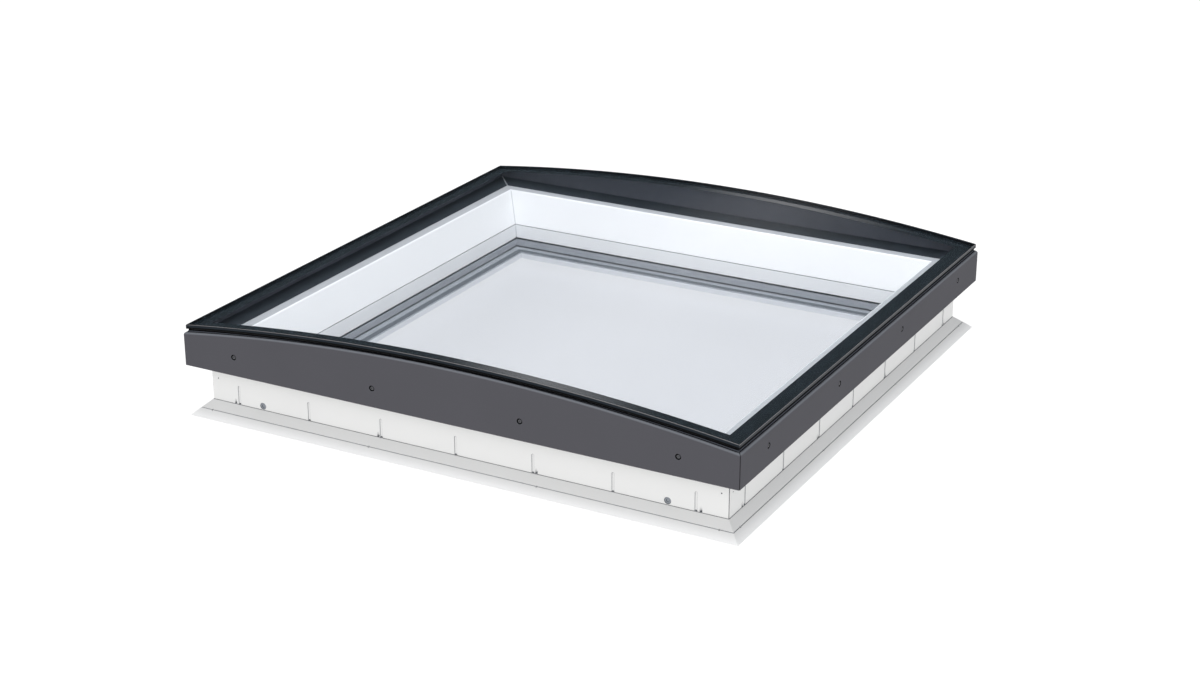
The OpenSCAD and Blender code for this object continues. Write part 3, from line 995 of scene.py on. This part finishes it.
@dataclass
class OuterGlass(SubAssembly):
    """Curved outer glass, the seal up its edge, and the dark border printed under it."""

    plan: Plan
    thickness: float = 8 * MM
    arris: float = 0.6 * MM
    arris_fall: float = 0.3
    sealed_edge: float = 3 * MM
    border_inset: float = 36.7 * MM
    border_edge: float = 4.3 * MM
    film: float = 0.08 * MM
    bite: float = 0.04 * MM
    steps: int = 96
    arch: Arch = field(init=False)
    edge: float = field(init=False)

    def __post_init__(self) -> None:
        """Reads the glass's place and bend from its node."""
        low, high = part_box("curved_glass")
        self.arch = Arch.through(high.x, low.z, high.z - self.thickness)
        self.edge = self.plan.half_x - high.x

    def build(self) -> None:
        """Builds the glass and its border."""
        materials = [
            FinishShelf.slot(Slot.OUTER_GLASS),
            FinishShelf.take("polished_edge", POLISHED_EDGE),
            FinishShelf.take("ground_arris", GROUND_ARRIS),
            FinishShelf.slot(Slot.SEAL_BLACK),
        ]
        sheet = self.sheet().piece("outer_glass", materials, smooth_deg=20)
        self.mount(sheet, Slot.OUTER_GLASS, "curved_glass")
        border = self.border().piece("printed_border", [FinishShelf.take("border_enamel", ENAMEL)])
        self.mount(border, Slot.OUTER_GLASS)

    def loop(self, inset: float, lift: float) -> tuple[list[Vector], list[Vector]]:
        """Points of the glass at an inset and a lift off its underside.

        Args:
            inset: Distance inwards from the cover's face.
            lift: Distance out from the glass's underside.

        Returns:
            The row along the front and the one along the back, both from left to right.
        """
        half_x, half_y = self.plan.half_x - inset, self.plan.half_y - inset
        front, back = [], []
        for k in range(self.steps + 1):
            x = half_x * (2 * k / self.steps - 1)
            z = self.arch.height(x, lift)
            front.append(Vector((x, -half_y, z)))
            back.append(Vector((x, half_y, z)))
        return front, back

    def sheet(self) -> MeshDraft:
        """Drafts the bent sheet.

        Returns:
            The draft, with a mark for each stretch of its edge.
        """
        draft = MeshDraft()
        middle = self.arris_fall * self.arris
        levels = (
            (self.arris, 0.0), (middle, middle), (0.0, self.arris), (0.0, self.sealed_edge),
            (0.0, self.thickness - self.arris), (middle, self.thickness - middle),
            (self.arris, self.thickness),
        )
        marks = 3 * [SheetMark.SEALED] + [SheetMark.POLISHED] + 2 * [SheetMark.GROUND]
        rows = []
        for inset, lift in levels:
            front, back = self.loop(self.edge + inset, lift)
            rows.append((draft.ring(front), draft.ring(back)))
        rings = [front + back[::-1] for front, back in rows]
        for first, second, mark in zip(rings, rings[1:], marks):
            draft.bridge(first, second, mark=mark)
        for front, back in (rows[0], rows[-1]):
            draft.bridge(front, back, closed=False, mark=SheetMark.CLEAR)
        return draft

    def border(self) -> MeshDraft:
        """Drafts the printed border.

        Returns:
            The draft of a thin closed ring, which bites into the glass a little.
        """
        draft = MeshDraft()
        corners = (
            (self.border_edge, -self.film), (self.border_edge, self.bite),
            (self.border_inset, self.bite), (self.border_inset, -self.film),
        )
        rings = []
        for inset, lift in corners:
            front, back = self.loop(inset, lift)
            rings.append(draft.ring(front + back[::-1]))
        for first, second in zip(rings, rings[1:] + rings[:1]):
            draft.bridge(first, second)
        return draft


@dataclass
class Cover(SubAssembly):
    """Anthracite cover panels with their screws and washers.

    The panels' upper edge is rounder than the model's, and the screw heads are larger and stand
    higher in their holes, by head_lift.
    """

    plan: Plan
    thickness: float = 6 * MM
    rounding: float = 4.5 * MM
    foot_rounding: float = 0.4 * MM
    seam: float = 0.8 * MM
    steps: int = 96
    round_steps: int = 6
    screw_count: int = 4
    screw_end: float = 111 * MM
    counterbore_r: float = 5.4 * MM
    counterbore_depth: float = 4 * MM
    hole_r: float = 2 * MM
    lip: float = 0.25 * MM
    overshoot: float = 1 * MM
    bore_sides: int = 40
    head_lift: float = 1 * MM

    def build(self) -> None:
        """Builds the panels and their screws, and dresses the washers."""
        for side in Side:
            self.panel(side)
            self.screws(side)
        self.dress("screw_washers", Slot.SEAL_BLACK)

    @property
    def arch(self) -> Arch:
        """Fits the arc of the cover's upper face.

        Returns:
            The arc, through the side panels' inner edges.
        """
        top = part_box("cover_panel_front")[1].z
        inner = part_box("cover_panel_right")[1].z
        return Arch.through(self.plan.half_x - self.thickness, inner, top)

    @property
    def screw_z(self) -> float:
        """Height of the screws' centres."""
        low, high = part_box("cover_screws_front")
        return (low.z + high.z) / 2

    def places(self, side: Side) -> list[float]:
        """Places of a side's screws along it."""
        last = self.plan.run(side) - self.screw_end
        return [last * (2 * k / (self.screw_count - 1) - 1) for k in range(self.screw_count)]

    def panel(self, side: Side) -> None:
        """Builds a side's panel.

        Args:
            side: The side.
        """
        node = f"cover_panel_{side.label}"
        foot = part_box(node)[0].z
        arch = self.arch
        outline: list[tuple[float, HeightRule]] = [
            (self.foot_rounding, level(foot)), (0.0, level(foot + self.foot_rounding)),
        ]
        for k in range(self.round_steps + 1):
            turn = math.pi / 2 * k / self.round_steps
            inset = self.rounding * (1 - math.cos(turn))
            outline.append((inset, arch.rule(self.rounding * (math.sin(turn) - 1))))
        outline += [(self.thickness, arch.rule()), (self.thickness, level(foot))]
        draft = self.plan.rail(side, outline, self.seam, self.steps if side.arched else 1)
        piece = draft.piece(f"{node}_shell", [FinishShelf.slot(Slot.COVER_ANTHRACITE)])
        MeshTools.cut(piece, self.bores(side))
        MeshTools.smooth(piece, 35)
        MeshTools.even_normals(piece)
        self.mount(piece, Slot.COVER_ANTHRACITE, node)

    def bores(self, side: Side) -> Piece:
        """Makes the cutter of a side's counterbored screw holes.

        Args:
            side: The side.

        Returns:
            The cutter, which also breaks the holes' outer edges.
        """
        mouth, end = -self.overshoot, self.thickness + self.overshoot
        section = (
            (0.0, mouth), (self.counterbore_r + self.lip + self.overshoot, mouth),
            (self.counterbore_r, self.lip), (self.counterbore_r, self.counterbore_depth),
            (self.hole_r, self.counterbore_depth), (self.hole_r, end), (0.0, end),
        )
        draft = MeshDraft()
        for along in self.places(side):
            Lathe(self.plan, side, along, self.screw_z).turn(draft, section, self.bore_sides)
        return draft.piece("bores", [])

    def screws(self, side: Side) -> None:
        """Builds a side's screws.

        Args:
            side: The side.
        """
        node = f"cover_screws_{side.label}"
        low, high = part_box(node)
        head_top, tip = {
            Side.FRONT: (low.y + self.plan.half_y, high.y + self.plan.half_y),
            Side.RIGHT: (self.plan.half_x - high.x, self.plan.half_x - low.x),
            Side.BACK: (self.plan.half_y - high.y, self.plan.half_y - low.y),
            Side.LEFT: (low.x + self.plan.half_x, high.x + self.plan.half_x),
        }[side]
        draft = MeshDraft()
        for along in self.places(side):
            Screw(Lathe(self.plan, side, along, self.screw_z), head_top - self.head_lift, tip).draw(draft)
        materials = [FinishShelf.slot(Slot.SCREW_STEEL), FinishShelf.take("screw_head", SCREW_HEAD)]
        piece = draft.piece(f"{node}_threaded", materials, smooth_deg=40)
        self.mount(piece, Slot.SCREW_STEEL, node)


@dataclass(frozen=True)
class Lathe:
    """A spindle square to a side of the frame, which turns round pieces."""

    plan: Plan
    side: Side
    along: float
    height: float

    def at(self, radius: float, turn: float, inset: float) -> Vector:
        """A point at a radius and an angle from the spindle, at an inset."""
        across, up = radius * math.cos(turn), radius * math.sin(turn)
        return self.plan.at(self.side, self.along + across, inset, self.height + up)

    def turn(self, draft: MeshDraft, section: Section, sides: int) -> None:
        """Turns a closed section, whose first and last points lie on the spindle.

        Args:
            draft: The draft that it is added to.
            section: Radius and inset of each point.
            sides: Number of flats round the piece.
        """
        angles = [2 * math.pi * k / sides for k in range(sides)]
        rings = [draft.ring(self.at(r, a, inset) for a in angles) for r, inset in section[1:-1]]
        for first, second in zip(rings, rings[1:]):
            draft.bridge(first, second)
        for ring, (_, inset) in ((rings[0], section[0]), (rings[-1], section[-1])):
            tip = draft.ring([self.at(0.0, 0.0, inset)])[0]
            for first, second in zip(ring, ring[1:] + ring[:1]):
                draft.face((first, second, tip))


@dataclass(frozen=True)
class Screw:
    """A pan-head screw with a six-lobed drive and a rolled thread."""

    lathe: Lathe
    head_top: float
    tip: float
    head_r: float = 3.7 * MM
    head_h: float = 3 * MM
    crown_r: float = 2 * MM
    dome_share: float = 0.7
    dome_steps: int = 5
    drive_r: float = 1.35 * MM
    drive_lobe: float = 0.22 * MM
    drive_lobes: int = 6
    drive_depth: float = 1.2 * MM
    drive_floor: float = 0.6
    drive_wall: float = 0.85
    drive_edge: float = 0.05 * MM
    neck_r: float = 1.9 * MM
    neck_l: float = 2 * MM
    core_r: float = 1.4 * MM
    pitch: float = 1.4 * MM
    flank: float = 0.3
    tip_l: float = 4 * MM
    tip_share: float = 0.08
    tip_rest: float = 0.3 * MM
    sides: int = 24
    turn_steps: int = 4

    def draw(self, draft: MeshDraft) -> None:
        """Draws the screw.

        Args:
            draft: The draft that it is added to.
        """
        top, seat = self.head_top, self.head_top + self.head_h
        floor, wall = top + self.drive_depth, top + self.drive_wall * self.drive_depth
        steel, head = range(2)
        rings = [
            self.row(draft, lambda a: self.drive_floor * self.drive(a), floor),
            self.row(draft, self.drive, wall),
            self.row(draft, self.drive, top + self.drive_edge),
        ]
        for k in range(1, self.dome_steps + 1):
            lean = math.pi / 2 * k / self.dome_steps
            radius = self.crown_r + (self.head_r - self.crown_r) * math.sin(lean)
            depth = self.dome_share * self.head_h * (1 - math.cos(lean))
            rings.append(self.row(draft, lambda a, r=radius: r, top + depth))
        rings.append(self.row(draft, lambda a: self.head_r, seat))
        head_rings = len(rings)
        inset = seat + self.neck_l
        rings += [self.row(draft, lambda a: self.neck_r, end) for end in (seat, inset)]
        while inset < self.tip - self.tip_rest:
            inset += self.pitch / self.turn_steps
            rings.append(self.row(draft, lambda a, i=inset: self.thread(a, i), inset))
        for k, (first, second) in enumerate(zip(rings, rings[1:])):
            draft.bridge(first, second, mark=head if k < head_rings else steel)
        draft.face(rings[0], head)
        draft.face(rings[-1], steel)

    def row(self, draft: MeshDraft, radius: Callable[[float], float], inset: float) -> list[int]:
        """Adds a ring whose radius depends on the angle, and returns its points' numbers."""
        angles = [2 * math.pi * k / self.sides for k in range(self.sides)]
        return draft.ring(self.lathe.at(radius(a), a, inset) for a in angles)

    def drive(self, angle: float) -> float:
        """Radius of the lobed recess at an angle."""
        return self.drive_r + self.drive_lobe * math.cos(self.drive_lobes * angle)

    def thread(self, angle: float, inset: float) -> float:
        """Works out the thread.

        Args:
            angle: Angle round the screw.
            inset: Distance inwards from the cover's face.

        Returns:
            The thread's radius there, smaller towards the tip.
        """
        share = ((inset - self.head_top) / self.pitch - angle / (2 * math.pi)) % 1.0
        crest = max(0.0, 1 - abs(share - 0.5) / self.flank)
        fade = min(1.0, max(self.tip_share, (self.tip - inset) / self.tip_l))
        return (self.core_r + (self.neck_r - self.core_r) * crest) * fade


# ---- Studio ----


@dataclass(frozen=True)
class Room:
    """The studio around the table: bright in front, with a dark flag and a soft strip behind.

    A heading is an azimuth to the left of the back, and an elevation.
    """

    front: Colour = (1.02, 1.02, 1.03)
    walls: Colour = (0.54, 0.55, 0.57)
    ceiling: Colour = (0.62, 0.63, 0.65)
    flag: Colour = (0.065, 0.08, 0.09)
    strip: Colour = (0.84, 0.835, 0.85)
    front_axis: Axis = (0.25, -0.968, 0.0)
    front_range: Range = (-0.1, 0.8)
    ceiling_axis: Axis = (0.0, 0.0, 1.0)
    ceiling_range: Range = (0.6, 0.95)
    flag_heading_deg: Heading = (22.0, 20.0)
    flag_inner_deg: float = 34.0
    flag_outer_deg: float = 46.0
    strip_low_heading_deg: Heading = (21.4, 19.3)
    strip_high_heading_deg: Heading = (28.0, 25.1)
    strip_half_deg: float = 6.3
    strip_foot_deg: float = 12.0
    strip_full_deg: float = 15.5

    def build(self) -> None:
        """Makes the room the scene's world."""
        world = bpy.data.worlds.new("studio_room")
        world.use_nodes = True
        tree = Wiring(world.node_tree)
        place = tree.node("ShaderNodeTexCoord").outputs["Generated"]
        light = tree.node("ShaderNodeBackground", {"Color": self.light(tree, place)})
        tree.node("ShaderNodeOutputWorld", {"Surface": light.outputs[0]})
        bpy.context.scene.world = world

    def light(self, tree: Wiring, place: Socket) -> Socket:
        """Works out the light from each direction.

        Args:
            tree: The world's shader tree.
            place: The direction.

        Returns:
            The light's colour.
        """
        height = self.along(tree, place, self.ceiling_axis)
        ahead = self.ramp(tree, self.along(tree, place, self.front_axis), *self.front_range)
        overhead = self.ramp(tree, height, *self.ceiling_range)
        to_flag = self.along(tree, place, self.heading(*self.flag_heading_deg))
        outer, inner = self.cosine(self.flag_outer_deg), self.cosine(self.flag_inner_deg)
        in_flag = self.ramp(tree, to_flag, outer, inner)
        low = Vector(self.heading(*self.strip_low_heading_deg))
        high = Vector(self.heading(*self.strip_high_heading_deg))
        beside = self.along(tree, place, tuple(low.cross(high).normalized()))
        offset = tree.node("ShaderNodeMath", {0: beside}, operation="ABSOLUTE").outputs[0]
        across = self.ramp(tree, offset, self.sine(self.strip_half_deg), 0.0)
        lift = self.ramp(tree, height, self.sine(self.strip_foot_deg), self.sine(self.strip_full_deg))
        in_strip = tree.node("ShaderNodeMath", {0: across, 1: lift}, operation="MULTIPLY").outputs[0]
        bright = tree.mixed(overhead, tree.mixed(ahead, self.walls, self.front), self.ceiling)
        dark = tree.mixed(in_strip, self.flag, self.strip)
        return tree.mixed(in_flag, bright, dark)

    @staticmethod
    def sine(degrees: float) -> float:
        """Sine of an angle in degrees."""
        return math.sin(math.radians(degrees))

    @staticmethod
    def cosine(degrees: float) -> float:
        """Cosine of an angle in degrees."""
        return math.cos(math.radians(degrees))

    @classmethod
    def heading(cls, azimuth_deg: float, elevation_deg: float) -> Axis:
        """Direction of a heading."""
        flat = cls.cosine(elevation_deg)
        return (-cls.sine(azimuth_deg) * flat, cls.cosine(azimuth_deg) * flat, cls.sine(elevation_deg))

    @staticmethod
    def along(tree: Wiring, place: Socket, axis: Axis) -> Socket:
        """Share of a direction that lies along an axis."""
        inputs = {0: place, 1: axis}
        return tree.node("ShaderNodeVectorMath", inputs, operation="DOT_PRODUCT").outputs["Value"]

    @staticmethod
    def ramp(tree: Wiring, value: Socket, low: float, high: float) -> Socket:
        """A smooth rise from 0 at low to 1 at high."""
        inputs = {"Value": value, "From Min": low, "From Max": high}
        return tree.node("ShaderNodeMapRange", inputs, interpolation_type="SMOOTHSTEP").outputs["Result"]


@dataclass(frozen=True)
class Softbox:
    """A square softbox that faces the skylight."""

    name: str
    place: Axis
    size: float
    watts: float
    aim: Axis = (0.0, 0.0, 0.1)

    def build(self) -> None:
        """Hangs the softbox."""
        lamp = bpy.data.lights.new(self.name, "AREA")
        lamp.size = self.size
        lamp.energy = self.watts
        light = bpy.data.objects.new(self.name, lamp)
        light.location = self.place
        light.rotation_euler = (Vector(self.aim) - Vector(self.place)).to_track_quat("-Z", "Y").to_euler()
        bpy.context.scene.collection.objects.link(light)


@dataclass
class Studio:
    """Pale floor, soft lights and the camera."""

    softboxes: tuple[Softbox, ...] = (
        Softbox("top_box", (0.0, 0.0, 3.0), 1.9, 40.0),
        Softbox("front_box", (1.8, -3.6, 1.4), 2.0, 14.0),
    )
    floor_half: float = 40.0
    floor_gap: float = 0.5 * MM
    lens: float = 66.82
    sensor: float = 36.0
    sight: float = 200.0
    eye: Axis = (1.9040, -3.5034, 1.6446)
    azimuth_deg: float = 28.525
    elevation_deg: float = 21.60

    def build(self) -> None:
        """Sets everything up."""
        self.floor()
        Room().build()
        for softbox in self.softboxes:
            softbox.build()
        self.camera()
        bpy.context.scene.view_settings.view_transform = "Standard"

    def floor(self) -> None:
        """Lays the floor."""
        draft = MeshDraft()
        half = self.floor_half
        corners = ((-half, -half), (half, -half), (half, half), (-half, half))
        draft.face(draft.ring(Vector((x, y, 0)) for x, y in corners))
        floor = draft.piece("studio_floor", [FinishShelf.take("light_table", LightTable())])
        floor.location.z = -self.floor_gap

    def camera(self) -> None:
        """Sets the camera."""
        data = bpy.data.cameras.new("studio_camera")
        data.lens = self.lens
        data.sensor_width = self.sensor
        data.clip_end = self.sight
        camera = bpy.data.objects.new("studio_camera", data)
        camera.location = self.eye
        tilt, turn = math.radians(90 - self.elevation_deg), math.radians(self.azimuth_deg)
        camera.rotation_euler = (tilt, 0.0, turn)
        bpy.context.scene.collection.objects.link(camera)
        bpy.context.scene.camera = camera


def main() -> None:
    """Builds every sub-assembly and the studio, and reports each piece."""
    logging.basicConfig(level=logging.INFO, format="%(name)s: %(message)s")
    plan = Plan.from_cover()
    for part in (Kerb(), GlazingUnit(), Rim(plan), OuterGlass(plan), Cover(plan)):
        LOG.info("building %s", type(part).__name__)
        part.build()
    Studio().build()


if __name__ == "__main__":
    main()
